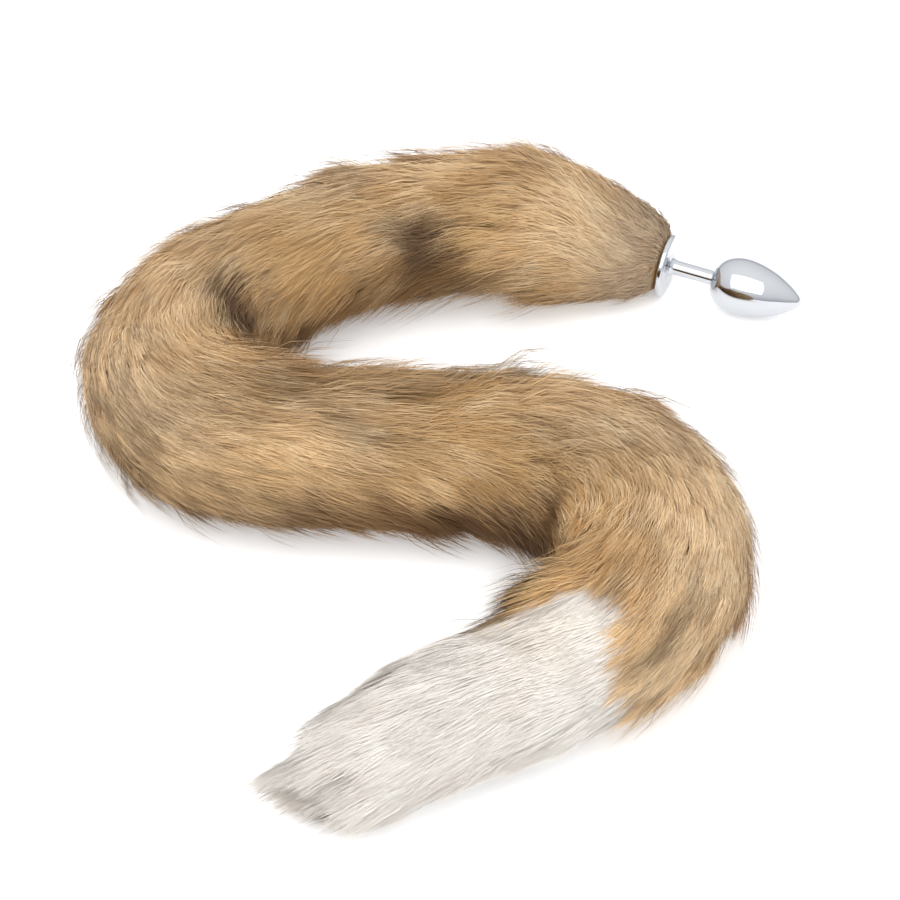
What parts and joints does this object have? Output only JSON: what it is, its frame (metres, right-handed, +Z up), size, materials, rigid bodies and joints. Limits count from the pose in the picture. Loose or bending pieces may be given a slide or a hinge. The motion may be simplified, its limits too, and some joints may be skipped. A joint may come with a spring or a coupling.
{
  "type": "fox tail butt plug",
  "caption": "Turned metal plug with a teardrop bulb, slim neck and round flange that carries a long tan fur fox tail with a white tip, laid in an S.",
  "frame": {"origin": "on the surface that the object lies on, at the middle of its box", "axes": "+Z up, +Y from the tail's white tip towards the plug's side of the S, +X the way the plug points, seen with the tail laid out"},
  "size_m": [0.3412, 0.412, 0.0679],
  "materials": {
    "polished_metal": "mirror-polished metal, faint cool tint",
    "post_metal": "plain turned steel, hidden in the tail",
    "tan_fur": "long soft faux fur, golden tan with grey-brown streaks and dark guard hair tips",
    "white_fur": "long soft faux fur, warm white"
  },
  "bodies": {
    "root": {"plug": "polished_metal", "tail_post": "post_metal", "tail_body": "tan_fur", "tail_tip": "white_fur"}
  },
  "joints": []
}
